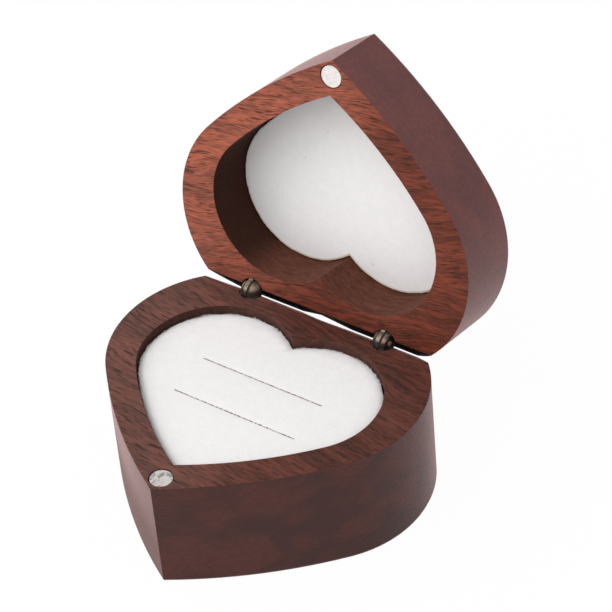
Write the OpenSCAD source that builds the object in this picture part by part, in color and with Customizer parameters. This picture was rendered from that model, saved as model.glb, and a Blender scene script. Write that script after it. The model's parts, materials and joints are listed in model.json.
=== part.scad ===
// Heart-shaped wooden ring display box, shown open.
// Two solid wood halves with heart-shaped hollows meet on a flat rim. Two small barrel hinges
// join them at the straight back edge, and a magnet in each front tip holds them shut.
// Millimetres, +Z up. The origin is the middle of the base's resting face. The tip of the heart
// points to -Y and the hinge line runs along X at the back.
// The lid is built shut, then turned back about the hinge pins to its resting pose.

/* [Heart outline] */
// overall width across both lobes
box_w = 60; // [50:0.5:80]
// hinge edge to front tip
tip_reach = 49.6; // [41.4:0.2:66]
// radius of each lobe's shoulder
lobe_r = 21.2; // [17:0.1:26]
// lobe centre to hinge edge
lobe_back = 15; // [12:0.1:20]
// radius of the long side curves
side_r = 96.5; // [75:0.5:140]
// hinge edge to the flat back face, which is also the depth of the back bevels
back_reach = 3.6; // [3.2:0.1:5]
// half width of the shallow cleft in the back face
cleft_half_w = 5.2; // [3:0.1:8]
// depth of that cleft
cleft_depth = 2.2; // [0.5:0.1:3]
// rounding of the outer edges of the base's underside and the lid's top
ease = 0.5; // [0.2:0.1:1.5]

/* [Hollows] */
// wood left between the hollows and the sides, at the widest
side_wall = 6.7; // [5:0.1:9]
// wood left between the hollows' tips and the box's tip
tip_wall = 6.7; // [6.2:0.1:12]
// radius of the hollows' lobes
hollow_lobe_r = 14.05; // [11:0.05:18]
// hollows' lobe centres to hinge edge
hollow_back = 17.4; // [15:0.1:22]
// radius of the hollows' long sides
hollow_side_r = 76; // [60:0.5:120]

/* [Heights] */
// height of the base
base_h = 22.2; // [18:0.1:30]
// wood left under the base hollow
base_floor = 6.1; // [3:0.1:8]
// height of the lid
lid_h = 13.6; // [11:0.1:20]
// wood left over the lid hollow
lid_roof = 2.5; // [1.5:0.1:4]
// gap between the rims when shut
rim_gap = 0.1; // [0.05:0.05:0.4]

/* [Ring pad] */
// rim of the base down to the pad's face
pad_drop = 1.4; // [0.6:0.1:3]
// thickness of the pad's velvet face
velvet_t = 0.8; // [0.6:0.1:1.5]
// rounding of the velvet's edge
velvet_edge = 0.5; // [0.2:0.05:0.55]
// gap between the foam and the hollow's wall
foam_gap = 0.15; // [0.05:0.05:0.5]
// gap between the velvet's edge and the hollow's wall
velvet_gap = 0.4; // [0.1:0.05:0.8]
// length of each ring slit
slit_l = 25; // [16:0.5:32]
// width of each ring slit
slit_w = 0.4; // [0.2:0.1:2]
// how deep the slits go below the pad's face
slit_depth = 12; // [6:0.5:14]
// hinge edge to the rear slit
slit_back = 17.1; // [14:0.1:22]
// rear slit to front slit
slit_pitch = 9.2; // [6:0.2:12]
// middle of the rear slit to the right of the box's middle
rear_slit_x = 0.3; // [-1:0.1:1]
// middle of the front slit to the right of the box's middle
front_slit_x = 0.7; // [-1:0.1:1]

/* [Lid liner] */
// thickness of the liner's board
board_t = 1; // [0.5:0.1:2]
// thickness of the liner's velvet face
liner_velvet_t = 0.5; // [0.3:0.1:1]
// gap between the liner and the hollow's wall
liner_gap = 0.15; // [0.05:0.05:0.5]

/* [Closure magnets] */
// magnet diameter
magnet_d = 4; // [3:0.5:5]
// magnet thickness
magnet_t = 2; // [1:0.5:5]
// box tip to the magnets' centres
magnet_in = 3.1; // [2.8:0.1:5]
// magnet pocket's clearance on the radius
pocket_gap = 0.2; // [0.05:0.05:0.4]
// glue layer under each magnet
magnet_glue = 0.1; // [0.05:0.05:0.3]
// rim down to the magnet's face
magnet_drop = 0.1; // [0.05:0.05:0.5]

/* [Barrel hinges] */
// box centre to each hinge
hinge_x = 14.1; // [10:0.1:17]
// hinge edge back to the hinge pins
pin_back = 0.8; // [0.5:0.05:1.2]
// barrel diameter
barrel_d = 4.4; // [4:0.1:5.3]
// length of barrel in the base
base_barrel_l = 9; // [6:0.5:12]
// length of barrel in the lid
lid_barrel_l = 8; // [5:0.5:10]
// glue gap round each barrel
barrel_gap = 0.05; // [0.02:0.01:0.15]
// space left below each barrel in its hole
hole_spare = 0.2; // [0.1:0.1:1]
// bevel round the mouth of each barrel hole
hole_ease = 0.15; // [0.05:0.05:0.3]
// barrel's side in to the domed top of the leaves, on the radius
dome_in = 0.2; // [0.1:0.05:0.5]
// barrel's sides in to the outer leaves
leaf_in = 0.3; // [0.25:0.05:0.5]
// thickness of the left-hand leaf
outer_leaf_t = 0.95; // [0.4:0.05:1.1]
// thickness of the lid's leaf
lid_leaf_t = 1.05; // [0.6:0.05:1.2]
// thickness of the right-hand hinge's right-hand leaf; the left-hand hinge's fills the width
inner_leaf_t = 0.85; // [0.4:0.05:1]
// pins down to the step beside that leaf
step_drop = 0.6; // [0.6:0.05:0.8]
// free play between neighbouring leaves
leaf_gap = 0.08; // [0.04:0.01:0.15]
// clear space beyond the leaves' domes
knuckle_room = 0.35; // [0.3:0.05:0.6]
// hinge pin diameter
pin_d = 1; // [0.7:0.05:1.3]
// running clearance of the pin in the lid's leaf, on the radius
pin_play = 0.04; // [0.02:0.01:0.08]
// clearance of the pin in the base's leaves, on the radius
pin_seat = 0.01; // [0.01:0.01:0.03]
// how far the pins' left ends stay inside the left-hand leaf
pin_in = 0.1; // [0.05:0.05:0.2]
// how far the right-hand hinge's pin stands beyond its right-hand leaf
pin_out = 0.2; // [0.1:0.05:0.6]
// metal left over the other pin's right end
pin_cap = 0.5; // [0.3:0.05:0.6]

/* [Motion] */
// opening angle of the resting pose
open_angle = 102; // [92:1:108]

/* [Hidden] */
$fa = 4;
$fs = 0.25;
edge_y = (tip_reach - back_reach) / 2;
pin_y = edge_y + pin_back;
pin_z = base_h + rim_gap / 2;
lobe_x = box_w / 2 - lobe_r;
hollow_lobe_x = box_w / 2 - side_wall - hollow_lobe_r;
hollow_tip = tip_reach - tip_wall;
magnet_y = edge_y - tip_reach + magnet_in;
dome_r = barrel_d / 2 - dome_in;
foam_top = base_h - pad_drop - velvet_t;
lid_z = base_h + rim_gap;
roof_z = lid_z + lid_h - lid_roof;
leaf_x0 = -barrel_d / 2 + leaf_in;
leaf_x1 = leaf_x0 + outer_leaf_t;
leaf_x2 = leaf_x1 + leaf_gap;
leaf_x3 = leaf_x2 + lid_leaf_t;
leaf_x4 = leaf_x3 + leaf_gap;
leaf_x5 = barrel_d / 2 - leaf_in;
pin_face = leaf_x4 + inner_leaf_t;
big = 200;
tuck = 0.003;

// Puts what is built shut into the resting pose.
module opened() {
    translate([0, pin_y, pin_z]) rotate([-open_angle, 0, 0]) translate([0, -pin_y, -pin_z]) children();
}

// Centre of the long side arc that touches the lobe arc and ends at the tip. The hinge edge is
// at y = 0 and the tip at y = -reach.
function side_centre(cx, back, r, side, reach) =
    let (d = norm([cx, reach - back]), u = [-cx / d, (back - reach) / d],
        along = (pow(side - r, 2) - side * side + d * d) / (2 * d), off = sqrt(pow(side - r, 2) - along * along))
    [cx + along * u[0] + off * u[1], -back + along * u[1] - off * u[0]];

// One half of a heart, in from the outline by inset.
// The side arc bounds the part below the line through both arc centres. It is drawn in by tuck, so
// that the lobe arc crosses it there and doesn't only touch it.
module half_heart(cx, back, r, side, reach, inset) {
    s = side_centre(cx, back, r, side, reach);
    far = [cx, -back] + big * ([cx, -back] - s) / norm([cx, -back] - s);
    intersection() {
        translate([cx, -back]) circle(r = r - inset, $fa = 2);
        translate([0, -big]) square([big, 2 * big]);
    }
    intersection() {
        translate(s) circle(r = side - inset - tuck, $fa = 1);
        polygon([[0, -back], [cx, -back], far, [far[0], -big], [0, -big]]);
    }
}

module heart(cx, back, r, side, reach, inset = 0) {
    half_heart(cx, back, r, side, reach, inset);
    mirror([1, 0]) half_heart(cx, back, r, side, reach, inset);
}

// Half section of a disc whose lower edge is rounded off in a few flats.
module edged_section(r, h, edge, flats) {
    polygon(concat([[0, 0]],
        [for (i = [0:flats]) let (a = 90 * i / flats) [r - edge + edge * sin(a), edge - edge * cos(a)]],
        [[r, h], [0, h]]));
}

// A solid heart, in from the outline by inset, that stands on the face whose edge is rounded off.
module edged_heart(cx, back, r, side, reach, h, edge, flats, inset = 0) {
    c = [cx, -back];
    s = side_centre(cx, back, r, side, reach);
    far = c + big * (c - s) / norm(c - s);
    for (m = [0, 1])
        mirror([m, 0, 0]) {
            intersection() {
                translate(c) rotate_extrude($fa = 2) edged_section(r - inset, h, edge, flats);
                translate([0, -big, 0]) cube([big, 2 * big, h]);
            }
            intersection() {
                translate(s) rotate_extrude($fa = 1) edged_section(side - inset - tuck, h, edge, flats);
                linear_extrude(h) polygon([[0, -back], c, far, [far[0], -big], [0, -big]]);
            }
        }
}

// Block of wood for either half, flat at the back with a shallow cleft.
module block(h) {
    back = edge_y + back_reach;
    difference() {
        translate([0, edge_y, 0]) edged_heart(lobe_x, lobe_back, lobe_r, side_r, tip_reach, h, ease, 2);
        translate([-big / 2, back, -1]) cube([big, big, h + 2]);
        translate([0, back, -1]) linear_extrude(h + 2)
            polygon([[-2 * cleft_half_w, cleft_depth], [0, -cleft_depth], [2 * cleft_half_w, cleft_depth]]);
        along_x(-big / 2, big / 2) polygon([[back - ease, -1], [back + 1, -1], [back + 1, ease], [back, ease], [back - ease, 0]]);
    }
}

module hollow(inset = 0) {
    translate([0, edge_y]) heart(hollow_lobe_x, hollow_back, hollow_lobe_r, hollow_side_r, hollow_tip, inset);
}

// A plate that fits the hollow, its upper edge rounded over.
module soft_plate(inset, h, edge) {
    translate([0, edge_y, h]) mirror([0, 0, 1])
        edged_heart(hollow_lobe_x, hollow_back, hollow_lobe_r, hollow_side_r, hollow_tip, h, edge, 4, inset);
}

// A bar along X with the section given in (y, z) by its children.
module along_x(x0, x1) {
    translate([x0, 0, 0]) rotate([90, 0, 90]) linear_extrude(x1 - x0) children();
}

// Everything behind the base's 45 degree back bevel; the lid's is its mirror image.
module bevel_off(extra = 0) {
    along_x(-big / 2, big / 2)
        polygon([[edge_y, base_h + extra], [edge_y + big / 2, base_h - big / 2 + extra],
            [edge_y + big / 2, base_h + big / 2], [edge_y, base_h + big / 2]]);
}

module at_hinge(side) {
    translate([side * hinge_x, pin_y, 0]) children();
}

module barrel_hole(length) {
    translate([0, 0, base_h - length - hole_spare]) cylinder(d = barrel_d + 2 * barrel_gap, h = length + 1);
    translate([0, 0, base_h - hole_ease])
        cylinder(r1 = barrel_d / 2 + barrel_gap, r2 = barrel_d / 2 + barrel_gap + 2 * hole_ease, h = 2 * hole_ease);
}

module magnet_pocket() {
    translate([0, magnet_y, base_h - magnet_drop - magnet_t - magnet_glue])
        cylinder(d = magnet_d + 2 * pocket_gap, h = magnet_t + 1);
}

module slits(z0, z1) {
    for (s = [[rear_slit_x, slit_back], [front_slit_x, slit_back + slit_pitch]])
        translate([s[0] - slit_l / 2, edge_y - s[1] - slit_w / 2, z0]) cube([slit_l, slit_w, z1 - z0]);
}

// Barrel body below the rim, bevelled like the wood.
module barrel_body(length) {
    difference() {
        translate([0, 0, base_h - length]) cylinder(d = barrel_d, h = length);
        translate([0, -pin_y, 0]) bevel_off();
    }
}

module dome_slice(x0, x1) {
    intersection() {
        translate([0, 0, pin_z]) sphere(r = dome_r);
        translate([x0, -5, pin_z - 5]) cube([x1 - x0, 10, 10]);
    }
}

// Space cut away where the other half's leaves turn.
module room(x0, x1) {
    translate([x0, -5, pin_z - dome_r - knuckle_room]) cube([x1 - x0, 10, 10]);
}

module pin_bore(x0, x1, clear) {
    translate([x0, 0, pin_z]) rotate([0, 90, 0]) cylinder(r = pin_d / 2 + clear, h = x1 - x0);
}

// Base half of a hinge: two leaves with the lid's leaf between them. The right-hand leaf ends at
// face, with a low step beside it where that is short of the full width.
module base_barrel(face, bore_end) {
    difference() {
        union() {
            barrel_body(base_barrel_l);
            dome_slice(leaf_x0, leaf_x5);
        }
        room(leaf_x1, leaf_x4);
        if (face < leaf_x5) translate([face, -5, pin_z - step_drop]) cube(10);
        pin_bore(leaf_x0 - 1, bore_end, pin_seat);
    }
}

// Lid half of a hinge, built as if it hung below the rim, then turned over.
module lid_barrel() {
    translate([0, 0, 2 * pin_z]) mirror([0, 0, 1])
        difference() {
            union() {
                difference() {
                    barrel_body(lid_barrel_l);
                    room(-5, leaf_x2);
                    room(leaf_x3, 5);
                }
                dome_slice(leaf_x2, leaf_x3);
            }
            pin_bore(leaf_x2 - 1, leaf_x3 + 1, pin_play);
        }
}

module hinge_pin(end) {
    translate([leaf_x0 + pin_in, 0, pin_z]) rotate([0, 90, 0])
        cylinder(d = pin_d, h = end - leaf_x0 - pin_in);
}

// The base half's shell features mirrored about the closing plane give the lid's.
module over() {
    translate([0, 0, 2 * pin_z]) mirror([0, 0, 1]) children();
}

module base_shell() color([0.36, 0.2, 0.14]) {
    difference() {
        block(base_h);
        translate([0, 0, base_floor]) linear_extrude(base_h) hollow();
        bevel_off();
        for (s = [-1, 1]) at_hinge(s) barrel_hole(base_barrel_l);
        magnet_pocket();
    }
}

module lid_shell() color([0.4, 0.2, 0.13]) {
    opened() difference() {
        translate([0, 0, lid_z + lid_h]) mirror([0, 0, 1]) block(lid_h);
        translate([0, 0, lid_z - 1]) linear_extrude(lid_h - lid_roof + 1) hollow();
        over() {
            bevel_off();
            for (s = [-1, 1]) at_hinge(s) barrel_hole(lid_barrel_l);
            magnet_pocket();
        }
    }
}

module pad_foam() color([0.85, 0.85, 0.83]) {
    difference() {
        translate([0, 0, base_floor]) linear_extrude(foam_top - base_floor) hollow(foam_gap);
        slits(foam_top + velvet_t - slit_depth, foam_top + 1);
    }
}

module pad_velvet() color([0.94, 0.94, 0.93]) {
    difference() {
        translate([0, 0, foam_top]) soft_plate(velvet_gap, velvet_t, velvet_edge);
        slits(foam_top - 1, foam_top + velvet_t + 1);
    }
}

module liner_board() color([0.45, 0.33, 0.24]) {
    opened() translate([0, 0, roof_z - board_t]) linear_extrude(board_t) hollow(liner_gap);
}

module liner_velvet() color([0.92, 0.91, 0.9]) {
    opened() translate([0, 0, roof_z - board_t - liner_velvet_t]) linear_extrude(liner_velvet_t) hollow(liner_gap);
}

module base_magnet() color([0.75, 0.75, 0.76]) {
    translate([0, magnet_y, base_h - magnet_drop - magnet_t]) cylinder(d = magnet_d, h = magnet_t);
}

module lid_magnet() color([0.78, 0.78, 0.79]) {
    opened() over()
        translate([0, magnet_y, base_h - magnet_drop - magnet_t]) cylinder(d = magnet_d, h = magnet_t);
}

module base_barrel_left() color([0.5, 0.45, 0.35]) at_hinge(-1) base_barrel(leaf_x5, leaf_x5 - pin_cap + 0.1);
module base_barrel_right() color([0.5, 0.45, 0.35]) at_hinge(1) base_barrel(pin_face, leaf_x5 + 1);
module lid_barrel_left() color([0.6, 0.55, 0.45]) opened() at_hinge(-1) lid_barrel();
module lid_barrel_right() color([0.6, 0.55, 0.45]) opened() at_hinge(1) lid_barrel();
module pin_left() color([0.7, 0.42, 0.32]) at_hinge(-1) hinge_pin(leaf_x5 - pin_cap);
module pin_right() color([0.7, 0.42, 0.32]) at_hinge(1) hinge_pin(pin_face + pin_out);

base_shell();
lid_shell();
pad_foam();
pad_velvet();
liner_board();
liner_velvet();
base_magnet();
lid_magnet();
base_barrel_left();
base_barrel_right();
lid_barrel_left();
lid_barrel_right();
pin_left();
pin_right();
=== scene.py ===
"""Looks of a heart-shaped wooden ring display box, built around its packed frame."""

import json
import math
import random

import bmesh
import bpy
from mathutils import Matrix, Vector
from mathutils.geometry import delaunay_2d_cdt


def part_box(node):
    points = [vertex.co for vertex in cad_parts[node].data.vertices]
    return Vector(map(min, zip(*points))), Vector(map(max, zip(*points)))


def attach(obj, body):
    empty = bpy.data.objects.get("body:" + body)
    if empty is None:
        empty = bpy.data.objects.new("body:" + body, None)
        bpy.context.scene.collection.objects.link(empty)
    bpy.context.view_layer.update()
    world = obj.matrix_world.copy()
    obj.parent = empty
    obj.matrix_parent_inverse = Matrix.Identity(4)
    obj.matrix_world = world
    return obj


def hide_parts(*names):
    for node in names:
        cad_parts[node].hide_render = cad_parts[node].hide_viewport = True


bl_info = {
    "name": "Heart Ring Box",
    "version": (1, 0, 0),
    "blender": (4, 5, 0),
    "location": "View3D > Sidebar > Ring Box",
    "description": "Finishes the wood, velvet and metal of a heart-shaped ring display box",
    "category": "Add Mesh",
}

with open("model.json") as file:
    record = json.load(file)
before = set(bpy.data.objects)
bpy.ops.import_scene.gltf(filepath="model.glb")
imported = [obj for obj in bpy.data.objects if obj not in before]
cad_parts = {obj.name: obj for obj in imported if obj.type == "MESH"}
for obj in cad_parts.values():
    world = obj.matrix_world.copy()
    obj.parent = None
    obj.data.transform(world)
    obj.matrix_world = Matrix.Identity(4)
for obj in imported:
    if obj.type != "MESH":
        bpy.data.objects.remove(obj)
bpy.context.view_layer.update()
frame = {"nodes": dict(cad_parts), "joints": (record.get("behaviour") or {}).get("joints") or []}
MM = 0.001
LID_TURN = frame["joints"][0]
HINGE = Vector(LID_TURN["pos_m"])
OPEN_ANGLE = math.radians(LID_TURN["range_deg"][1])
# LID_SHUT, for a shader, and SHUT take a place on the open lid to where it is when shut.
LID_SHUT = (HINGE, OPEN_ANGLE)
SHUT = (Matrix.Translation(HINGE) @ Matrix.Rotation(OPEN_ANGLE, 4, "X")
        @ Matrix.Translation(-HINGE))
OPEN = SHUT.inverted()                  # and back
PAD_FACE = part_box("pad_velvet")[1][2]
FOAM_LOW, FOAM_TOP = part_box("pad_foam")[0][2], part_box("pad_foam")[1][2]


# ---------------------------------------------------------------- sizes and colours

def size(name, description, default, low, high):
    """A length, in metres."""
    return bpy.props.FloatProperty(
        name=name, description=description, default=default, min=low, max=high,
        unit="LENGTH", precision=5)


def share(name, description, default):
    """A strength from 0 to 1."""
    return bpy.props.FloatProperty(
        name=name, description=description, default=default, min=0, max=1, subtype="FACTOR")


def tint(name, description, default):
    """A colour."""
    return bpy.props.FloatVectorProperty(
        name=name, description=description, default=default, min=0, max=1, size=3,
        subtype="COLOR")


def power(name, description, default):
    """A lamp's strength, in watts."""
    return bpy.props.FloatProperty(
        name=name, description=description, default=default, min=0, subtype="POWER")


class HollowSizes(bpy.types.PropertyGroup):
    """Outline of the heart-shaped hollows, which the pad and the liner follow"""
    half_width: size("Half width", "Half the width of the hollow", 23.3 * MM, 0.015, 0.04)
    edge_y: size("Hinge edge", "Middle of the base to the hinge edge", 23.0 * MM, 0.01, 0.04)
    tip: size("Tip", "Hinge edge to the hollow's tip", 42.9 * MM, 0.03, 0.06)
    lobe_radius: size("Lobe radius", "Radius of the lobes", 14.05 * MM, 0.008, 0.02)
    lobe_back: size("Lobe set back", "Hinge edge to the lobes' centres", 17.4 * MM, 0.01, 0.03)
    side_radius: size("Side radius", "Radius of the long sides", 76 * MM, 0.05, 0.15)


class PadSizes(bpy.types.PropertyGroup):
    """The slotted ring pad"""
    gap: size("Edge gap", "Gap between the velvet and the wood", 0.25 * MM, 0, 0.001)
    roll: size("Edge roll", "Width over which the velvet rolls down at its edge",
               0.9 * MM, 0.0002, 0.003)
    crown: size("Crown", "How far the middle of the pad stands above its edges",
                0.12 * MM, 0, 0.001)
    slit_length: size("Slit length", "Length of each ring slit", 25 * MM, 0.01, 0.03)
    slit_width: size("Slit width", "Open width of each ring slit", 0.10 * MM, 0.00002, 0.001)
    slit_back: size("Rear slit", "Hinge edge to the rear slit", 17.1 * MM, 0.01, 0.03)
    slit_pitch: size("Slit pitch", "Rear slit to front slit", 9.2 * MM, 0.005, 0.015)
    rear_shift: size("Rear slit shift", "Middle of the rear slit to the right of the box's middle",
                     0.3 * MM, -0.002, 0.002)
    front_shift: size("Front slit shift",
                      "Middle of the front slit to the right of the box's middle",
                      0.7 * MM, -0.002, 0.002)
    pile: size("Pile", "Length of the velvet's pile", 0.34 * MM, 0.0001, 0.001)


class WoodLooks(bpy.types.PropertyGroup):
    """Colours and figure of the walnut"""
    base_rim: tint("Base rim", "Sawn face of the base", (0.122, 0.038, 0.024))
    base_side: tint("Base side", "Sanded sides of the base", (0.054, 0.0135, 0.0100))
    base_hollow: tint("Base hollow", "Milled wall round the pad", (0.090, 0.038, 0.031))
    lid_rim: tint("Lid rim", "Sawn face of the lid", (0.205, 0.043, 0.018))
    lid_side: tint("Lid side", "Sanded sides of the lid", (0.156, 0.057, 0.055))
    lid_hollow: tint("Lid hollow", "Milled wall round the liner", (0.125, 0.044, 0.028))
    figure: share("Figure", "Strength of the light and dark bands", 1.0)
    pores: share("Pores", "Darkness of the open pores", 0.75)
    # painted reflection: a milky veil on the rim's painted lit side
    gloss_veil: share("Haze", "How milky the paler wood is", 0.06)
    # painted shade: how far the hollows darken to the left, where they face away from the key lamp
    hollow_shade: share("Milled walls", "How far the hollows darken to the left", 0.85)
    shine: share("Shine", "Strength of the oiled wood's reflections", 0.25)
    nap: share("Nap", "Sheen of the sanded wood at a grazing angle", 0.62)
    edge: size("Edge softness", "How far sanded edges are rounded", 0.22 * MM, 0, 0.002)


class VelvetLooks(bpy.types.PropertyGroup):
    """Colours of the pad and the lid's liner"""
    pile: tint("Pile", "Velvet", (0.89, 0.878, 0.875))
    cream: tint("Cream", "Pile yellowed at the liner's edge", (0.74, 0.62, 0.46))
    singed: tint("Singed", "Pile greyed beside the slits", (0.62, 0.54, 0.49))
    scorch: tint("Scorch", "Cut edges browned by the cut", (0.20, 0.13, 0.08))
    foam: tint("Foam", "Foam core", (0.70, 0.67, 0.61))
    board: tint("Board", "Fibreboard behind the liner", (0.16, 0.085, 0.045))


class MetalLooks(bpy.types.PropertyGroup):
    """Colours of the magnets and hinges"""
    nickel: tint("Magnets", "Nickel plating", (0.88, 0.83, 0.80))
    scuffed: share("Scuffs", "How worn the base's magnet is", 0.85)
    bronze: tint("Hinges", "Antiqued bronze", (0.27, 0.205, 0.150))
    seam_left: size("Left seam", "Middle of a hinge to the seam left of its middle leaf",
                    -0.91 * MM, -0.002, 0.002)
    seam_right: size("Right seam", "Middle of a hinge to the seam right of its middle leaf",
                     0.22 * MM, -0.002, 0.002)
    rubbed: tint("Rubbed edges", "Bronze where it is rubbed bright", (0.60, 0.51, 0.42))
    copper: tint("Pins", "Copper-toned pins", (0.72, 0.42, 0.33))


class StageLooks(bpy.types.PropertyGroup):
    """Floor, lamps and camera"""
    key: power("Key lamp", "Strength of the large lamp at the left", 5.3)
    fill: power("Fill lamp", "Strength of the lamp at the right", 0.6)
    top: power("Top lamp", "Strength of the lamp overhead", 3.8)
    room: bpy.props.FloatProperty(
        name="Room", description="Light from all around", default=0.56, min=0, max=2)
    camera_at: bpy.props.FloatVectorProperty(
        name="Camera place", description="Where the camera stands",
        default=(0.251095, -0.307126, 0.38446), size=3, subtype="XYZ", unit="LENGTH",
        precision=5)
    lens: bpy.props.FloatProperty(
        name="Lens", description="Focal length on a 36 mm wide frame", default=183.03, min=10,
        unit="CAMERA")


# ---------------------------------------------------------------- shader maths

class Value:
    """What a shader's socket gives. Arithmetic on it adds Math nodes."""

    def __init__(self, shader, socket):
        self.shader, self.socket = shader, socket

    def math(self, operation, *values):
        """One Math node on the values."""
        return self.shader.node(
            "ShaderNodeMath", {"operation": operation}, dict(enumerate(values)))

    def __add__(self, other):
        return self.math("ADD", self, other)

    def __sub__(self, other):
        return self.math("SUBTRACT", self, other)

    def __mul__(self, other):
        return self.math("MULTIPLY", self, other)

    def __radd__(self, other):
        return self.math("ADD", other, self)

    def __rsub__(self, other):
        return self.math("SUBTRACT", other, self)

    def __rmul__(self, other):
        return self.math("MULTIPLY", other, self)

    def __abs__(self):
        return self.math("ABSOLUTE", self)

    def step(self, low, high):
        """0 below low and 1 above high, eased in between; falls where low is the larger."""
        return self.shader.node(
            "ShaderNodeMapRange", {"interpolation_type": "SMOOTHSTEP"},
            {0: self, 1: min(low, high), 2: max(low, high),
             3: float(low > high), 4: float(low < high)})


class Shader:
    """A material whose nodes are all made by node()."""

    def __init__(self, name):
        self.material = bpy.data.materials.new(name)
        self.material.use_nodes = True
        self.tree = self.material.node_tree
        self.tree.nodes.clear()

    def node(self, kind, settings, sockets, output=0):
        """One node: its settings first, then the values or links of its sockets."""
        made = self.tree.nodes.new(kind)
        for key, value in settings.items():
            setattr(made, key, value)
        for key, value in sockets.items():
            if isinstance(value, Value):
                self.tree.links.new(value.socket, made.inputs[key])
            elif hasattr(value, "__len__") and made.inputs[key].type == "RGBA":
                made.inputs[key].default_value = (*value, 1)
            else:
                made.inputs[key].default_value = value
        return Value(self, made.outputs[output]) if made.outputs else None

    def place(self, turn=None):
        """The surface's place on its own object, in millimetres, and its facing there. turn is a
        centre and an angle about X, which both are taken through first."""
        place = self.node("ShaderNodeTexCoord", {}, {}, "Object")
        facing = self.node("ShaderNodeTexCoord", {}, {}, "Normal")
        if turn is not None:
            centre, angle = turn
            place = self.turned(place, centre, angle)
            facing = self.turned(facing, (0, 0, 0), angle)
        return self.scaled(place, (1 / MM, 1 / MM, 1 / MM)), facing

    def turned(self, vector, centre, angle):
        """The vector turned about X."""
        return self.node("ShaderNodeVectorRotate", {"rotation_type": "X_AXIS"},
                         {"Vector": vector, "Center": centre, "Angle": angle})

    def scaled(self, vector, by, shift=(0, 0, 0)):
        """The vector times by, plus shift."""
        return self.node("ShaderNodeVectorMath", {"operation": "MULTIPLY_ADD"},
                         {0: vector, 1: by, 2: shift})

    def parts(self, vector):
        """The vector's three numbers."""
        return [self.node("ShaderNodeSeparateXYZ", {}, {0: vector}, axis) for axis in "XYZ"]

    def joined(self, x, y, z):
        """A vector of three numbers."""
        return self.node("ShaderNodeCombineXYZ", {}, {0: x, 1: y, 2: z})

    def noise(self, vector, scale=1.0, detail=2.0, roughness=0.5, distortion=0.0):
        """Cloudy noise around 0.5."""
        return self.node("ShaderNodeTexNoise", {}, {
            "Vector": vector, "Scale": scale, "Detail": detail, "Roughness": roughness,
            "Distortion": distortion})

    def mix(self, mask, first, second, way="MIX"):
        """The first colour where mask is 0 and the second where it is 1."""
        return self.node("ShaderNodeMix", {"data_type": "RGBA", "blend_type": way},
                         {0: mask, 6: first, 7: second}, 2)

    def edges(self, radius, samples):
        """The facing with edges rounded, and 1 where that is the true facing, less at edges."""
        soft = self.node("ShaderNodeBevel", {"samples": samples}, {"Radius": radius})
        true = self.node("ShaderNodeNewGeometry", {}, {}, "Normal")
        agree = self.node(
            "ShaderNodeVectorMath", {"operation": "DOT_PRODUCT"}, {0: soft, 1: true}, 1)
        return soft, agree

    def bump(self, height, depth, strength, normal=None):
        """The facing, tilted by a relief of the given depth in metres."""
        sockets = {"Height": height, "Distance": depth, "Strength": strength}
        if normal is not None:
            sockets["Normal"] = normal
        return self.node("ShaderNodeBump", {}, sockets)

    def coat(self, **sockets):
        """One surface. An underscore stands for a space in a socket's name."""
        return self.node("ShaderNodeBsdfPrincipled", {},
                         {key.replace("_", " "): value for key, value in sockets.items()})

    def blend(self, mask, first, second):
        """The first surface where mask is 0 and the second where it is 1."""
        return self.node("ShaderNodeMixShader", {}, {0: mask, 1: first, 2: second})

    def surface(self, coat=None, **sockets):
        """The finished material, from a made coat or from a coat's own sockets."""
        self.node("ShaderNodeOutputMaterial", {}, {"Surface": coat or self.coat(**sockets)})
        return self.material


def dark(colour, by):
    """The colour times by."""
    return tuple(c * by for c in colour)


def either(*masks):
    """1 where any of the masks is."""
    clear = 1 - masks[0]
    for mask in masks[1:]:
        clear = clear * (1 - mask)
    return 1 - clear


# ---------------------------------------------------------------- finishes

# painted reflection: the milky veil of the lamp on the rim's lit side
PAINTED_GLOSS_VEIL = (0.45, 0.28, 0.24)
RIM_SHEEN = (1.0, 0.66, 0.62)
SIDE_SHEEN = (1.0, 0.62, 0.60)
LINT = (0.45, 0.36, 0.33)
WOOD_RELIEF = 0.05 * MM
PILE_RELIEF = 0.10 * MM
CELL_RELIEF = 0.12 * MM
FIBRE_RELIEF = 0.05 * MM
PLATING_RELIEF = 0.04 * MM
BRONZE_RELIEF = 0.03 * MM
PIN_RELIEF = 0.02 * MM
LEAF_EDGE = 0.12 * MM
PAD_TONE, LINER_TONE = 0.955, 1.0
BASE_MAGNET_TONE = 0.84
LID_SCUFFS = 0.12       # the lid's magnet has this share of the wear on the base's
# painted shade on the base's hollow, as a share of the lid's
BASE_GLOOM = 0.4        # the base's hollow darkens by this share of what the lid's does


def grain_layers(s, place, turn, seed):
    """Walnut's figure as masks: broad bands, lines, fine lines, open pores and cloudy patches.
    turn is the angle from X to the grain, which wanders a little."""
    x, y, z = s.parts(place)
    c, n = math.cos(turn), math.sin(turn)
    along = x * c + y * n
    drift = s.noise(s.scaled(place, (0.05, 0.09, 0.09), (seed, 0, 0)), detail=1) * 5.0
    across = y * c - x * n + drift

    def layer(scales, shift, low, high, **kind):
        spot = s.joined(along * scales[0], across * scales[1], z * scales[2] + shift)
        return s.noise(spot, **kind).step(low, high)

    bands = layer((0.03, 0.20, 0.20), seed, 0.38, 0.62)
    lines = layer((0.14, 1.5, 1.5), seed, 0.38, 0.62, detail=3, roughness=0.65)
    fine = layer((0.60, 3.6, 3.6), -seed, 0.32, 0.68, roughness=0.7)
    pores = layer((0.36, 3.8, 3.8), 2 * seed, 0.53, 0.68, detail=1)
    clouds = layer((0.05, 0.13, 0.15), 3 * seed, 0.35, 0.65, distortion=0.5)
    return bands, lines, fine, pores, clouds


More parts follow.
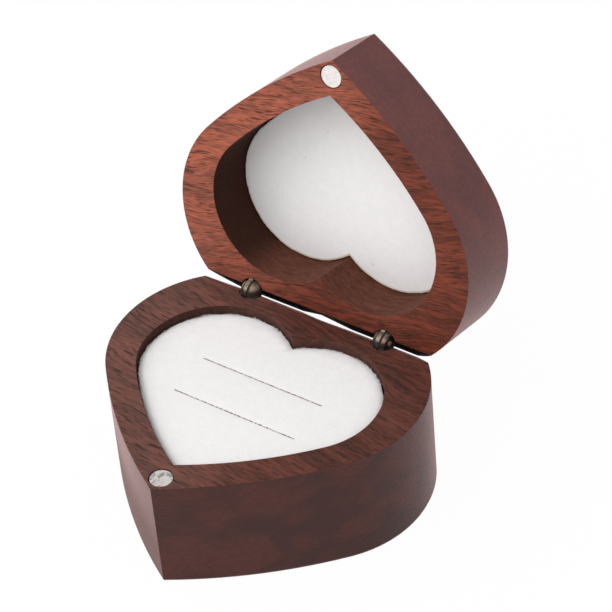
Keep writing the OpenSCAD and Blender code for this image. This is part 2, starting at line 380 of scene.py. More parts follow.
def walnut(name, rim, side, hollow, looks, turn=None, *,
           grain, pales, shades, clouds, gloom, bevel_shadow, seed):
    """Satin walnut with its grain along X. The sawn rim has open pores, with painted light making
    it paler towards the tip and the left and painted shade darker to the right; the sides are
    smoother, the machined hollow dull with painted shade to the left, left-facing walls have
    painted shade low down, and the back bevel carries a near black painted shadow.

    grain turns the figure, pales and shades are how light the rim's painted lit and painted
    shaded ends are, clouds how strong the patches on the sides, gloom how far painted shade
    darkens the hollow to the left and bevel_shadow how dark the bevel's painted shadow is."""
    s = Shader(name)
    place, facing = s.place(turn)
    x, y, z = s.parts(place)
    fx, fy, fz = s.parts(facing)
    bands, lines, fine, pore, cloud = grain_layers(s, place, grain, seed)

    level = abs(fz).step(0.60, 0.80)
    # painted light and shade: 1 towards the tip and the left, where the key lamp falls, 0 to the
    # right
    pale = (x * -0.8 - y * 0.3).step(-7, 8)
    # painted shade: left-facing walls darker low down, towards the floor
    painted_low_shade = z.step(19, 6) * fx.step(-0.3, -0.6) * 0.55
    inner = (fx * x + fy * (y + 2)).step(0.5, -0.5) * (1 - level)
    sloped = abs(fz).step(0.60, 0.68) * abs(fz).step(0.80, 0.74)
    # painted shadow: the back bevel, which lies in shade by the hinges, made near black
    painted_bevel_shadow = fy.step(0.60, 0.68) * sloped * z.step(30, 28) * bevel_shadow

    figure = looks.figure
    tone = (bands * 0.26 + lines * 0.40 + fine * 0.34) * figure + (1 - figure) * 0.5
    rim_colour = s.mix(tone, dark(rim, 0.33), dark(rim, 1.66))
    # painted light and shade: a shaded and a lit copy of the rim's colour, blended by that mask
    shaded = s.mix(1.0, rim_colour, (shades, shades * 0.90, shades * 0.88), "MULTIPLY")
    sunny = s.mix(1.0, rim_colour, (pales, pales * 1.04, pales * 1.10), "MULTIPLY")
    # painted reflection: the milky veil goes over the lit copy only
    rim_colour = s.mix(pale, shaded, s.mix(looks.gloss_veil, sunny, PAINTED_GLOSS_VEIL))
    rim_colour = s.mix(pore * looks.pores, rim_colour, dark(rim, 0.16))

    redder = (side[0] * 1.36, side[1] * 1.12, side[2] * 0.98)
    side_colour = s.mix(cloud * clouds, dark(side, 1 - 0.26 * clouds), redder)
    side_colour = s.mix(lines * 0.30, side_colour, dark(side, 0.5))
    side_colour = s.mix(pore * 0.12, side_colour, dark(side, 0.2))

    cuts = s.noise(s.scaled(place, (0.5, 1.2, 1.2), (seed, 0, 0)), 1.0, 3, 0.6).step(0.3, 0.7)
    hollow_colour = s.mix(cuts, dark(hollow, 0.85), dark(hollow, 1.2))
    # painted shade: the hollow darkens to the left, away from the key lamp
    hollow_colour = s.mix(x.step(-11, -18) * gloom, hollow_colour, dark(hollow, 0.18))
    hollow_colour = s.mix(lines * 0.3, hollow_colour, dark(hollow, 0.3))

    soft, agree = s.edges(looks.edge, 4)
    worn = agree.step(0.995, 0.90) * s.noise(place, 1.3, 2).step(0.35, 0.7) * 0.5
    rubbed = dark(rim, 2.4)
    relief = fine * 0.2 + lines * 0.3 - pore * (level * 0.8 + 0.2)
    normal = s.bump(relief, WOOD_RELIEF, 0.7, soft)
    sawn = s.coat(
        Base_Color=s.mix(worn, rim_colour, rubbed), Roughness=0.42 + pore * 0.25 + fine * 0.08,
        Specular_IOR_Level=looks.shine, Sheen_Weight=looks.nap * 0.25, Sheen_Roughness=0.4,
        Sheen_Tint=RIM_SHEEN, Normal=normal)
    sanded = s.coat(
        Base_Color=s.mix(worn, side_colour, rubbed), Roughness=0.36 + fine * 0.08 + pore * 0.1,
        Specular_IOR_Level=looks.shine, Sheen_Weight=looks.nap, Sheen_Roughness=0.32,
        Sheen_Tint=SIDE_SHEEN, Normal=normal)
    dull = s.coat(
        Base_Color=s.mix(painted_bevel_shadow, s.mix(worn, hollow_colour, rubbed), dark(rim, 0.04)),
        Roughness=0.75 + fine * 0.15, Specular_IOR_Level=0.12, Normal=normal)
    # the dull surface also takes the painted bevel shadow and the painted shade low on the left
    # walls
    return s.surface(s.blend(either(inner, painted_bevel_shadow, painted_low_shade), s.blend(level, sanded, sawn), dull))


def velvet(name, looks, tone, turn=None):
    """Short white pile, browned along its cut edges. The pad's is greyed beside the slits. The
    liner's, which is the one with a turn, is yellowed towards the hinges and holds some lint."""
    s = Shader(name)
    place, _ = s.place(turn)
    cut = s.node("ShaderNodeAttribute", {"attribute_name": "cut"}, {}, "Fac")
    mottle = s.noise(place, 0.8, 4, 0.65)
    pile = s.noise(place, 3.6, 3, 0.65)
    singed = s.noise(place, 1.5, 3, 0.75).step(0.44, 0.56)
    colour = s.mix(mottle.step(0.3, 0.7), dark(looks.pile, 0.965 * tone), dark(looks.pile, tone))
    colour = s.mix(pile.step(0.25, 0.75) * 0.10, colour, dark(looks.pile, 0.8))
    if turn is None:
        edge, strength, burnt = looks.singed, 0.5, (0.35, 0.80)
    else:
        edge, strength, burnt = looks.cream, 0.9, (0.60, 0.95)
        x, y, _ = s.parts(place)
        cut = cut * (y + x * 0.5).step(-10, 9)
        colour = s.mix(s.noise(place, 1.1, 0).step(0.85, 0.87) * 0.4, colour, LINT)
    colour = s.mix(cut.step(0.05, 0.6) * strength, colour, edge)
    colour = s.mix(cut.step(*burnt) * singed, colour, looks.scorch)
    return s.surface(
        Base_Color=colour, Roughness=0.9 + pile * 0.1, Specular_IOR_Level=0.15,
        Sheen_Weight=0.25, Sheen_Roughness=0.5, Normal=s.bump(pile, PILE_RELIEF, 0.5))


def foam(looks):
    """Open-cell foam."""
    s = Shader("foam")
    place, _ = s.place()
    cells = s.node("ShaderNodeTexVoronoi", {"feature": "F1"},
                   {"Vector": place, "Scale": 3.5}, "Distance")
    colour = s.mix(cells.step(0.1, 0.7), dark(looks.foam, 0.7), looks.foam)
    return s.surface(Base_Color=colour, Roughness=0.95 - cells * 0.05,
                     Normal=s.bump(cells, CELL_RELIEF, 0.8))


def fibreboard(looks, turn):
    """Pressed fibres, scorched where it was cut."""
    s = Shader("fibreboard")
    place, facing = s.place(turn)
    fibres = s.noise(s.scaled(place, (0.8, 3, 3)), 1.5, 3)
    sides = abs(s.parts(facing)[2]).step(0.7, 0.3)
    colour = s.mix(fibres, dark(looks.board, 0.7), dark(looks.board, 1.5))
    colour = s.mix(sides * 0.8, colour, dark(looks.board, 0.3))
    return s.surface(Base_Color=colour, Roughness=0.75 + fibres * 0.2,
                     Normal=s.bump(fibres, FIBRE_RELIEF, 0.6))


def nickel(name, colour, scuffed, turn=None, *, seed):
    """Plating with a bright frosty face, scuffed down to grey in patches."""
    s = Shader(name)
    place, _ = s.place(turn)
    frost = s.noise(s.scaled(place, (1, 1, 1), (seed, seed, 0)), 2.6, 3, 0.6)
    spots = s.noise(s.scaled(place, (0.9, 0.9, 0.9), (3 * seed, seed, 0)), 0.75, 4, 0.7, 0.6)
    patches = spots.step(0.49, 0.56)
    scratches = s.noise(s.scaled(place, (0.5, 8, 8)), 1.2, 2).step(0.55, 0.75)
    shade = s.mix(frost.step(0.3, 0.7), dark(colour, 0.82), colour)
    shade = s.mix(patches * scuffed, shade, dark(colour, 0.30))
    shade = s.mix(scratches * 0.3, shade, dark(colour, 1.1))
    return s.surface(
        Base_Color=shade, Metallic=0.45 - patches * 0.15, Roughness=0.42 + frost * 0.2,
        Normal=s.bump(frost + patches * 0.5, PLATING_RELIEF, 0.5))


def bronze(name, looks, middle):
    """Antiqued bronze, rubbed bright along its edges, with painted shade in the seams beside the
    middle leaf, round the pin's end and low where the barrel meets the wood."""
    s = Shader(name)
    place, facing = s.place()
    x, _, z = s.parts(place)
    fy = s.parts(facing)[1]
    left, right = (middle + looks.seam_left) / MM, (middle + looks.seam_right) / MM
    wood = HINGE.z / MM
    turning = s.noise(s.scaled(place, (6, 0.9, 0.9)), 1.6, 3)
    patina = s.noise(place, 1.0, 4, 0.6)
    # painted shade in the seams beside the middle leaf
    seam = either(abs(x - left).step(0.20, 0.07), abs(x - (right + 0.06)).step(0.32, 0.12))
    # painted shade round the pin's end
    groove = abs(fy - 0.50).step(0.16, 0.05) * (x - right).step(0, 0.3)
    # painted shade: darker low down, where the barrel meets the wood
    painted_low_shade = (z + (patina - 0.5) * 0.5).step(wood + 1.45, wood + 0.75)
    soft, agree = s.edges(LEAF_EDGE, 6)
    worn = either(agree.step(0.99, 0.85), fy.step(0.66, 0.78) * 0.8)
    # painted shade: the seams, the pin's end and the low part together
    painted_shade = either(painted_low_shade * 0.86, seam * 0.95, groove * 0.85)
    colour = s.mix(patina.step(0.35, 0.65), dark(looks.bronze, 0.55), dark(looks.bronze, 1.3))
    colour = s.mix(turning.step(0.45, 0.75) * 0.3 + worn * 0.7, colour, looks.rubbed)
    colour = s.mix(painted_shade, colour, dark(looks.bronze, 0.08))
    return s.surface(
        Base_Color=colour, Metallic=0.85 - seam * 0.4,
        Roughness=0.50 + patina * 0.2 + painted_shade * 0.2 - worn * 0.12,
        Normal=s.bump(turning * 0.6 + patina, BRONZE_RELIEF, 0.6, soft))


def copper(looks):
    """Copper-toned pins with a turned end."""
    s = Shader("copper")
    place, _ = s.place()
    marks = s.noise(s.scaled(place, (2, 5, 5)), 1.5, 3)
    colour = s.mix(marks, dark(looks.copper, 0.6), dark(looks.copper, 1.4))
    return s.surface(Base_Color=colour, Metallic=0.9, Roughness=0.4 + marks * 0.2,
                     Normal=s.bump(marks, PIN_RELIEF, 0.5))


def dress(node, material):
    """Gives a frame piece its finish."""
    slots = frame["nodes"][node].material_slots
    if not slots:
        frame["nodes"][node].data.materials.append(material)
    for slot in slots:
        slot.material = material


# ---------------------------------------------------------------- outlines and meshes

def arc(centre, radius, start, end, steps):
    """Points along an arc, both its ends among them."""
    angles = [start + (end - start) * i / steps for i in range(steps + 1)]
    return [(centre.x + radius * math.cos(a), centre.y + radius * math.sin(a)) for a in angles]


def heart(sizes, inset, pitch=0.3 * MM):
    """The hollow's outline, in by inset: points clockwise from the cleft, in the base's frame,
    and as many of them whatever the inset."""
    small, large = sizes.lobe_radius, sizes.side_radius
    lobe = Vector((sizes.half_width - small, -sizes.lobe_back))
    tip = Vector((0, -sizes.tip))
    # The long side's centre is large from the tip and large - small from the lobe's centre.
    apart = (lobe - tip).length
    way = (tip - lobe) / apart
    along = ((large - small) ** 2 - large ** 2 + apart * apart) / (2 * apart)
    off = math.sqrt((large - small) ** 2 - along ** 2)
    side = Vector((sizes.half_width - small + along * way.x + off * way.y,
                   -sizes.lobe_back + along * way.y - off * way.x))
    touch = math.atan2(lobe.y - side.y, lobe.x - side.x)

    def ends(inward):
        """Angles where the lobe meets the cleft and the side meets the tip."""
        return (math.acos((small - sizes.half_width) / (small - inward)),
                -math.acos(-side.x / (large - inward)))

    cleft, point = ends(0)
    lobe_steps = round(small * (cleft - touch) / pitch)
    side_steps = round(large * (touch - point) / pitch)
    cleft, point = ends(inset)
    right = (arc(lobe, small - inset, cleft, touch, lobe_steps)[:-1]
             + arc(side, large - inset, touch, point, side_steps))
    right[0], right[-1] = (0, right[0][1]), (0, right[-1][1])
    points = [(x, y + sizes.edge_y) for x, y in right]
    return points[:-1] + [(-x, y) for x, y in points[::-1]][:-1]


def ragged(loop, amount, seed, run):
    """The loop with its points moved in and out a little, unevenly along it and least at the
    cleft and the tip. A swell is run points long."""
    rng = random.Random(seed)
    n = len(loop)
    knots = [rng.uniform(-1, 1) for k in range(n // run + 1)]
    moved = []
    for i, (x, y) in enumerate(loop):
        (x0, y0), (x1, y1) = loop[i - 1], loop[(i + 1) % n]
        out = Vector((y1 - y0, x0 - x1)).normalized()
        k, t = divmod(i / run, 1)
        a, b = knots[int(k) % len(knots)], knots[(int(k) + 1) % len(knots)]
        swell = a + (b - a) * t * t * (3 - 2 * t) + rng.uniform(-0.5, 0.5)
        push = amount * min(1, abs(x) / (2 * MM)) * swell
        moved.append((x - out.x * push, y - out.y * push))
    return moved


def bar_loop(x, y, half_length, half_width, pitch=0.5 * MM):
    """Outline of a slit with round ends."""
    r = half_width
    steps = max(2, round(2 * half_length / pitch))
    top = [(x - half_length + 2 * half_length * i / steps, y + r) for i in range(steps + 1)]
    end = [(x + half_length + r * math.sin(a), y + r * math.cos(a))
           for a in [math.pi * k / 6 for k in range(1, 6)]]
    low = [(2 * x - px, 2 * y - py) for px, py in top]
    other = [(2 * x - px, 2 * y - py) for px, py in end]
    return top + end + low + other


def inside(point, loop):
    """Whether the point lies in the loop."""
    x, y = point
    hit = False
    for (x0, y0), (x1, y1) in zip(loop, loop[1:] + loop[:1]):
        if (y0 > y) != (y1 > y) and x < (x1 - x0) * (y - y0) / (y1 - y0) + x0:
            hit = not hit
    return hit


def face_mesh(outer, holes, spacing, clear):
    """Triangles that fill outer around the holes, with points on an even grid between, at least
    clear from the loops."""
    points, edges = [], []
    for loop in [outer, *holes]:
        first = len(points)
        points += [Vector(p) for p in loop]
        edges += [(first + i, first + (i + 1) % len(loop)) for i in range(len(loop))]
    rim = list(points)
    xs, ys = [p[0] for p in outer], [p[1] for p in outer]
    nx, ny = int((max(xs) - min(xs)) / spacing), int((max(ys) - min(ys)) / spacing)
    for j in range(1, ny):
        for i in range(1, nx):
            p = Vector((min(xs) + (i + 0.5 * (j % 2)) * spacing, min(ys) + j * spacing))
            held = inside(p, outer) and not any(inside(p, h) for h in holes)
            if held and min((p - q).length for q in rim) > clear:
                points.append(p)
    verts, _, faces, _, _, _ = delaunay_2d_cdt(points, edges, [], 1, 1e-9)
    kept = []
    for f in faces:
        c = sum((verts[i] for i in f), Vector((0, 0))) / len(f)
        if not any(inside(c, h) for h in holes):
            kept.append(list(f))
    return [tuple(v) for v in verts], kept


def soft_plate(outline, steps, holes, hole_steps, height, spacing, clear=0.6, blind=False):
    """A closed plate: its points, its faces and how near a cut edge each point is, 0 to 1.

    outline and each of the holes give a loop for an inset. steps are (inset, z, cut) from the
    underside's edge up to the face, and hole_steps the same from the face down each hole; blind
    holes are closed at the bottom. Where z is None it is height's, at that point. spacing is
    the face's grid, and clear the share of it that is left free along the loops."""
    verts, faces, cuts = [], [], []

    def add(points, z, cut):
        verts.extend((p[0], p[1], height(p) if z is None else z) for p in points)
        cuts.extend([cut] * len(points))

    def wall(rings):
        first, n = len(verts), len(rings[0][0])
        for ring in rings:
            add(*ring)
        for k in range(first, len(verts) - n, n):
            for i in range(n):
                a, b = k + i, k + (i + 1) % n
                faces.append((b, a, a + n, b + n))

    def cap(outer, inner, z, flip):
        flat, triangles = face_mesh(outer, inner, spacing, spacing * clear)
        first = len(verts)
        add(flat, z, 0)
        for triangle in triangles:
            triangle = [first + i for i in triangle]
            faces.append(triangle[::-1] if flip else triangle)

    outer = [(outline(inset), z, cut) for inset, z, cut in steps]
    wall(outer)
    tops, lows = [], []
    for hole in holes:
        rings = [(hole(grow), z, cut) for grow, z, cut in hole_steps]
        wall(rings)
        tops.append(rings[0][0])
        if blind:
            faces.append(list(range(len(verts) - len(tops[-1]), len(verts)))[::-1])
        else:
            lows.append(rings[-1][0])
    cap(outer[-1][0], tops, None, False)
    cap(outer[0][0], lows, steps[0][1], True)
    return verts, faces, cuts


def new_piece(name, verts, faces, material, smooth=True, cut=None):
    """A mesh object in the scene. cut is how near a cut edge each point is."""
    mesh = bpy.data.meshes.new(name)
    mesh.from_pydata(verts, [], faces)
    mesh.validate()
    if cut is not None:
        layer = mesh.attributes.new("cut", "FLOAT", "POINT")
        layer.data.foreach_set("value", cut)
    mesh.materials.append(material)
    if smooth:
        mesh.shade_smooth()
    else:
        mesh.shade_flat()
    piece = bpy.data.objects.new(name, mesh)
    bpy.context.scene.collection.objects.link(piece)
    return piece


def weld(piece, distance=1e-7):
    """Joins points that coincide and turns every face outwards."""
    b = bmesh.new()
    b.from_mesh(piece.data)
    bmesh.ops.remove_doubles(b, verts=b.verts, dist=distance)
    bmesh.ops.recalc_face_normals(b, faces=b.faces)
    b.to_mesh(piece.data)
    b.free()


def edge_roots(hollow, inset, pitch, seed):
    """Places for pile along the hollow's outline, in by inset: (place, outward, height that
    comes and goes)."""
    rng = random.Random(seed)
    loop = heart(hollow, inset, pitch)
    clump, roots = 1.0, []
    for (x0, y0), (x1, y1) in zip(loop, loop[1:] + loop[:1]):
        out = Vector((y0 - y1, x1 - x0, 0)).normalized()
        clump = min(1.35, max(0.35, clump + rng.gauss(0, 0.2)))
        roots.append((Vector((x0, y0, 0)), out, clump))
    return roots


def tufts(name, roots, length, width, material, seed, cut=0.0):
    """Thin pile fibres, one at each root: (place, direction it leans, how tall it is)."""
    rng = random.Random(seed)
    verts, faces, marks = [], [], []
    for place, lean, tall in roots:
        tall *= length * rng.uniform(0.55, 1.15)
        jitter = Vector((rng.gauss(0, 0.45), rng.gauss(0, 0.45), rng.gauss(0, 0.2)))
        way = (lean + jitter).normalized()
        aside = Vector((rng.uniform(-1, 1), rng.uniform(-1, 1), rng.uniform(-1, 1)))
        side = way.cross(aside).normalized()
        other = way.cross(side)
        first = len(verts)
        for k in range(3):
            a = 2 * math.pi * k / 3
            verts.append(place + (side * math.cos(a) + other * math.sin(a)) * width / 2)
        verts.append(place + way * tall)
        mark = cut * rng.uniform(0.3, 1)
        marks += [mark * 0.6] * 3 + [mark]
        faces += [(first, first + 1, first + 3), (first + 1, first + 2, first + 3),
                  (first + 2, first, first + 3), (first + 2, first + 1, first)]
    return new_piece(name, verts, faces, material, False, marks)


# ---------------------------------------------------------------- pieces

RAGGED_PAD, RAGGED_LINER = 0.08 * MM, 0.05 * MM
EDGE_RUN = 3                    # outline points in one swell of a ragged edge
VELVET_BASE = 0.02 * MM         # how far the sheets stay clear of what they lie on
CROWN_MIDDLE, CROWN_REACH = 2 * MM, 23 * MM
DIP, DIP_REACH = 0.05 * MM, 0.4 * MM
ROLL_DEPTH, ROLL_STEPS = 0.62, 6
LINER_GAP = 0.18 * MM
LINER_PILE = 0.26 * MM
FIBRE_WIDTH, FIBRE_WIDTH_EDGE = 0.06 * MM, 0.07 * MM
SLIT_FIBRES = (900, 380)        # on each side of the rear and of the front slit


def slit_middles(hollow, pad):
    """Middles of the rear and the front slit."""
    rear = hollow.edge_y - pad.slit_back
    return [(pad.rear_shift, rear), (pad.front_shift, rear - pad.slit_pitch)]


def slit_outlines(hollow, pad):
    """A function for each slit that gives its outline, wider all round by grow."""
    return [lambda grow, x=x, y=y: bar_loop(x, y, pad.slit_length / 2, pad.slit_width / 2 + grow)
            for x, y in slit_middles(hollow, pad)]


def pad_face(hollow, pad, cloth):
    """The pad's velvet, stretched over the foam: crowned, rolled down at its edge, and drawn down
    a little where it goes into the slits."""
    half = pad.slit_length / 2
    slits = slit_middles(hollow, pad)
    edge_z = PAD_FACE - pad.crown

    def outline(inset):
        return ragged(heart(hollow, pad.gap + inset), RAGGED_PAD, 3, EDGE_RUN)

    def height(p):
        x, y = p
        rise = (min(1, max(0, 1 - (x / hollow.half_width) ** 2))
                * min(1, max(0, 1 - ((y - CROWN_MIDDLE) / CROWN_REACH) ** 2)))
        near = min(math.hypot(y - sy, max(0, abs(x - sx) - half)) for sx, sy in slits)
        return edge_z + pad.crown * rise ** 0.5 - math.exp(-(near / DIP_REACH) ** 2) * DIP

    steps = [(0.15 * MM, FOAM_TOP + VELVET_BASE, 0.0)]
    for k in range(ROLL_STEPS):
        a = math.radians(90 * k / ROLL_STEPS)
        steps.append((pad.roll * (1 - math.cos(a)),
                      edge_z - pad.roll * ROLL_DEPTH * (1 - math.sin(a)), 0.0))
    steps.append((pad.roll, None, 0.0))
    lips = [(0.14 * MM, None, 0.1), (0.06 * MM, PAD_FACE - 0.06 * MM, 0.7),
            (0.0, PAD_FACE - 0.15 * MM, 1.0), (0.0, PAD_FACE - 0.40 * MM, 1.0),
            (0.0, FOAM_TOP + VELVET_BASE, 1.0)]
    verts, faces, cut = soft_plate(
        outline, steps, slit_outlines(hollow, pad), lips, height, 1.2 * MM)
    piece = new_piece("ring_pad_velvet", verts, faces, cloth, True, cut)
    weld(piece)
    return piece


def pad_core(hollow, pad, looks):
    """The foam under the velvet: it bulges a little between the wood, and the slits run down
    into it but not through."""
    steps = [(0.55 * MM, FOAM_LOW, 0), (0.25 * MM, FOAM_LOW + 0.4 * MM, 0),
             (0.17 * MM, (FOAM_LOW + FOAM_TOP) / 2, 0), (0.25 * MM, FOAM_TOP - 0.5 * MM, 0),
             (0.50 * MM, FOAM_TOP - 0.1 * MM, 0), (0.85 * MM, None, 0)]
    groove = [(0.05 * MM, None, 0), (0.04 * MM, FOAM_TOP - 0.3 * MM, 0),
              (0.02 * MM, FOAM_LOW + 3.2 * MM, 0)]
    verts, faces, _ = soft_plate(
        lambda inset: heart(hollow, inset), steps, slit_outlines(hollow, pad), groove,
        lambda p: FOAM_TOP, 3 * MM, 0.5, True)
    core = new_piece("ring_pad_foam", verts, faces, foam(looks))
    weld(core)
    return core


def pad_edge_pile(hollow, pad, cloth, rng):
    """Pile that stands out of the pad's rolled edge."""
    roots = []
    for place, out, clump in edge_roots(hollow, pad.gap + 0.10 * MM, 0.12 * MM, 4):
        for k in range(3):
            down = rng.uniform(0.12, 0.5) * MM
            root = Vector((place.x, place.y, PAD_FACE - pad.crown - down))
            root -= out * (0.15 * MM - 0.2 * down)
            roots.append((root, out * 0.75 + Vector((0, 0, rng.uniform(0.2, 1.1))), clump))
    return tufts("pad_edge_pile", roots, pad.pile, FIBRE_WIDTH_EDGE, cloth, 8)


def pad_slit_pile(hollow, pad, cloth, rng):
    """Pile that leans across the slits, thicker in the rear one."""
    half = pad.slit_length / 2
    roots = []
    for (x, y), count in zip(slit_middles(hollow, pad), SLIT_FIBRES):
        for side in (-1, 1):
            for k in range(count):
                px = x - half + 2 * half * (k + rng.random()) / count
                py = y + side * (pad.slit_width / 2 + rng.uniform(0.02, 0.08) * MM)
                place = Vector((px, py, PAD_FACE - rng.uniform(0.20, 0.30) * MM))
                roots.append((place, Vector((0, -side * rng.uniform(0.2, 1.1), 0.8)), 1.0))
    return tufts("pad_slit_pile", roots, pad.pile * 0.75, FIBRE_WIDTH, cloth, 9, 1.0)


def liner_face(hollow, face, back, cloth):
    """The liner's velvet, stretched over its board. It is made face up and turned over, from z
    = face, which shows in the open lid, to back, where it lies on the board."""
    def outline(inset):
        return ragged(heart(hollow, LINER_GAP + inset), RAGGED_LINER, 4, EDGE_RUN)

    steps = [(0.05 * MM, -back + VELVET_BASE, 1.0), (0.0, -back + 0.25 * MM, 1.0),
             (0.03 * MM, -face - 0.12 * MM, 0.8), (0.12 * MM, -face - 0.03 * MM, 0.6),
             (0.34 * MM, None, 0.5), (0.60 * MM, None, 0.0)]
    verts, faces, cut = soft_plate(outline, steps, [], [], lambda p: -face, 1.5 * MM)
    verts = [OPEN @ Vector((-x, y, -z)) for x, y, z in verts]
    piece = new_piece("lid_liner_velvet", verts, faces, cloth, True, cut)
    weld(piece)
    return piece


def liner_edge_pile(hollow, face, cloth):
    """Pile that stands out of the liner's edge."""
    roots = []
    rng = random.Random(6)
    for place, out, clump in edge_roots(hollow, LINER_GAP + 0.12 * MM, 0.14 * MM, 7):
        for k in range(2):
            root = Vector((place.x, place.y, face + rng.uniform(0.05, 0.3) * MM)) - out * 0.1 * MM
            lean = out * 0.6 + Vector((0, 0, -rng.uniform(0.2, 1.0)))
            roots.append((OPEN @ root, OPEN.to_3x3() @ lean, clump))
    return tufts("liner_edge_pile", roots, LINER_PILE, FIBRE_WIDTH, cloth, 12, 0.5)


class RINGBOX_OT_wood(bpy.types.Operator):
    """Finish the base and the lid in satin walnut"""
    bl_idname = "ringbox.wood"
    bl_label = "Finish Wood"

    def execute(self, context):
        looks = context.scene.ringbox_wood
        dress("base_shell", walnut(
            "base_walnut", looks.base_rim, looks.base_side, looks.base_hollow, looks,
            grain=math.radians(-6), pales=0.95, shades=0.74, clouds=1.0,
            gloom=looks.hollow_shade * BASE_GLOOM, bevel_shadow=0.1, seed=3.0))
        dress("lid_shell", walnut(
            "lid_walnut", looks.lid_rim, looks.lid_side, looks.lid_hollow, looks, LID_SHUT,
            grain=math.radians(-10), pales=1.28, shades=0.62, clouds=0.5,
            gloom=looks.hollow_shade, bevel_shadow=1.0, seed=11.0))
        return {"FINISHED"}


class RINGBOX_OT_pad(bpy.types.Operator):
    """Make the slotted ring pad: a foam core under a velvet face"""
    bl_idname = "ringbox.pad"
    bl_label = "Make Ring Pad"

    def execute(self, context):
        scene = context.scene
        hollow, pad, looks = scene.ringbox_hollow, scene.ringbox_pad, scene.ringbox_velvet
        cloth = velvet("pad_pile", looks, PAD_TONE)
        piece = pad_face(hollow, pad, cloth)
        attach(piece, "base")
        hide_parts("pad_velvet")

        core = pad_core(hollow, pad, looks)
        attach(core, "base")
        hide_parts("pad_foam")

        rng = random.Random(5)
        fringe = pad_edge_pile(hollow, pad, cloth, rng)
        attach(fringe, "base")
        lips = pad_slit_pile(hollow, pad, cloth, rng)
        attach(lips, "base")
        return {"FINISHED"}


class RINGBOX_OT_liner(bpy.types.Operator):
    """Make the lid's velvet liner and finish the board behind it"""
    bl_idname = "ringbox.liner"
    bl_label = "Make Lid Liner"

    def execute(self, context):
        hollow, looks = context.scene.ringbox_hollow, context.scene.ringbox_velvet
        dress("liner_board", fibreboard(looks, LID_SHUT))
        heights = [(SHUT @ v.co).z for v in frame["nodes"]["liner_velvet"].data.vertices]
        face, back = min(heights), max(heights)
        cloth = velvet("liner_pile", looks, LINER_TONE, LID_SHUT)
        piece = liner_face(hollow, face, back, cloth)
        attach(piece, "lid")
        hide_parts("liner_velvet")
        fringe = liner_edge_pile(hollow, face, cloth)
        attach(fringe, "lid")
        return {"FINISHED"}


class RINGBOX_OT_metal(bpy.types.Operator):
    """Finish the closure magnets, the barrel hinges and their pins"""
    bl_idname = "ringbox.metal"
    bl_label = "Finish Metal"

    def execute(self, context):
        looks = context.scene.ringbox_metal
        dress("base_magnet", nickel(
            "scuffed_nickel", dark(looks.nickel, BASE_MAGNET_TONE), looks.scuffed, seed=2.0))
        dress("lid_magnet", nickel(
            "frosted_nickel", looks.nickel, looks.scuffed * LID_SCUFFS, LID_SHUT, seed=7.0))
        for end in ("left", "right"):
            low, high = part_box("lid_barrel_" + end)
            aged = bronze("bronze_" + end, looks, (low[0] + high[0]) / 2)
            dress("base_barrel_" + end, aged)
            dress("lid_barrel_" + end, aged)
        pins = copper(looks)
        for node in ("pin_left", "pin_right"):
            dress(node, pins)
        return {"FINISHED"}


AIM = Vector((0, 0.008, 0.028))         # where the lamps point
# Each lamp: its name, its place and its width. The names are also StageLooks' strengths.
LAMPS = (("key", (-0.80, -0.30, 0.62), 1.1),
         ("fill", (0.60, -0.50, 0.45), 0.6),
         ("top", (-0.10, -0.54, 0.775), 0.9))
CAMERA_RIGHT = Vector((0.82771, 0.5567, -0.07061))
CAMERA_UP = Vector((-0.32207, 0.57432, 0.75262))
FLOOR_RADIUS, FLOOR_SIDES, FLOOR_DROP = 1.6, 64, 0.00002
PAPER, WHITE = (0.88, 0.88, 0.88), (1, 1, 1)
SEEN_WHITE, REFLECTED_WHITE = 0.97, 0.75


def pale_paper():
    """Paper that takes the object's light and shadow, but looks white to the camera."""
    s = Shader("floor")
    seen, glossy, through = [
        s.node("ShaderNodeLightPath", {}, {}, kind)
        for kind in ("Is Camera Ray", "Is Glossy Ray", "Is Transmission Ray")]
    white = seen * SEEN_WHITE + glossy * REFLECTED_WHITE + through * REFLECTED_WHITE
    paper = s.node("ShaderNodeBsdfDiffuse", {}, {"Color": PAPER})
    glow = s.node("ShaderNodeEmission", {}, {"Color": WHITE, "Strength": 1.0})
    return s.surface(s.blend(white, paper, glow))


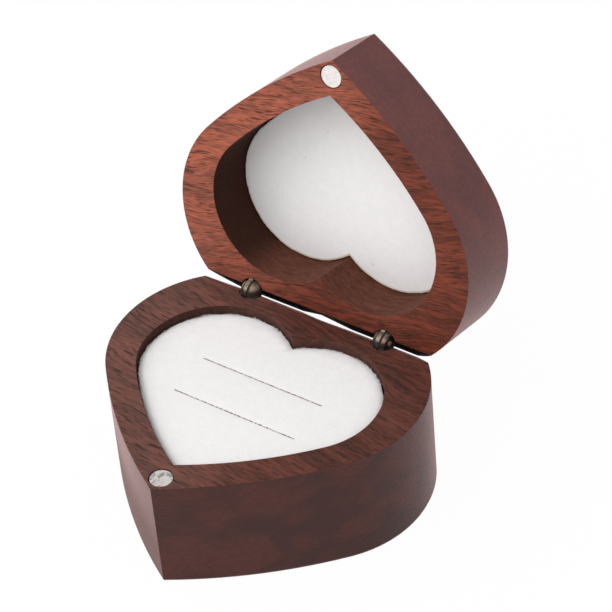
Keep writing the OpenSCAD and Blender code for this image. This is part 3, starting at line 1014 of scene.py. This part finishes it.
class RINGBOX_OT_stage(bpy.types.Operator):
    """Set the pale floor, the lamps and the camera"""
    bl_idname = "ringbox.stage"
    bl_label = "Set Stage"

    def execute(self, context):
        looks, scene = context.scene.ringbox_stage, context.scene
        scene.view_settings.view_transform = "Standard"
        angles = [2 * math.pi * k / FLOOR_SIDES for k in range(FLOOR_SIDES)]
        disc = [(FLOOR_RADIUS * math.cos(a), FLOOR_RADIUS * math.sin(a), -FLOOR_DROP)
                for a in angles]
        floor = new_piece("floor", disc, [list(range(FLOOR_SIDES))], pale_paper(), False)

        world = bpy.data.worlds.new("room")
        scene.world = world
        world.use_nodes = True
        back = world.node_tree.nodes["Background"]
        back.inputs["Color"].default_value = (*WHITE, 1)
        back.inputs["Strength"].default_value = looks.room
        for name, place, width in LAMPS:
            lamp = bpy.data.lights.new(name, "AREA")
            lamp.shape, lamp.size, lamp.energy = "DISK", width, getattr(looks, name)
            lit = bpy.data.objects.new(name, lamp)
            lit.location = place
            lit.rotation_euler = (AIM - Vector(place)).to_track_quat("-Z", "Y").to_euler()
            scene.collection.objects.link(lit)

        eye = bpy.data.cameras.new("camera")
        eye.sensor_width, eye.lens = 36, looks.lens
        eye.clip_start, eye.clip_end = 0.05, 10
        camera = bpy.data.objects.new("camera", eye)
        ahead = CAMERA_UP.cross(CAMERA_RIGHT).normalized()
        up = CAMERA_RIGHT.cross(ahead).normalized()
        turn = Matrix((CAMERA_RIGHT, up, -ahead)).transposed().to_4x4()
        camera.matrix_world = Matrix.Translation(looks.camera_at) @ turn
        scene.collection.objects.link(camera)
        scene.camera = camera
        return {"FINISHED"}


class RINGBOX_PT_panel(bpy.types.Panel):
    """Pieces and finishes of the ring box"""
    bl_idname = "RINGBOX_PT_panel"
    bl_label = "Heart Ring Box"
    bl_space_type = "VIEW_3D"
    bl_region_type = "UI"
    bl_category = "Ring Box"

    def draw(self, context):
        for step in STEPS:
            self.layout.operator(step.bl_idname)
        for group, members in GROUPS.items():
            box = self.layout.box()
            box.label(text=members.__doc__)
            for key in members.__annotations__:
                box.prop(getattr(context.scene, group), key)


GROUPS = {
    "ringbox_hollow": HollowSizes,
    "ringbox_pad": PadSizes,
    "ringbox_wood": WoodLooks,
    "ringbox_velvet": VelvetLooks,
    "ringbox_metal": MetalLooks,
    "ringbox_stage": StageLooks,
}
STEPS = [RINGBOX_OT_stage, RINGBOX_OT_wood, RINGBOX_OT_pad, RINGBOX_OT_liner, RINGBOX_OT_metal]


def register():
    """Adds the classes, and the properties to the scene."""
    for group, members in GROUPS.items():
        bpy.utils.register_class(members)
        setattr(bpy.types.Scene, group, bpy.props.PointerProperty(type=members))
    for made in [*STEPS, RINGBOX_PT_panel]:
        bpy.utils.register_class(made)


def unregister():
    """Takes them away again, last first."""
    for made in [RINGBOX_PT_panel, *reversed(STEPS)]:
        bpy.utils.unregister_class(made)
    for group, members in GROUPS.items():
        delattr(bpy.types.Scene, group)
        bpy.utils.unregister_class(members)


def main():
    """Makes everything in order."""
    register()
    for step in STEPS:
        getattr(bpy.ops.ringbox, step.bl_idname.split(".")[1])()


if __name__ == "__main__":
    main()
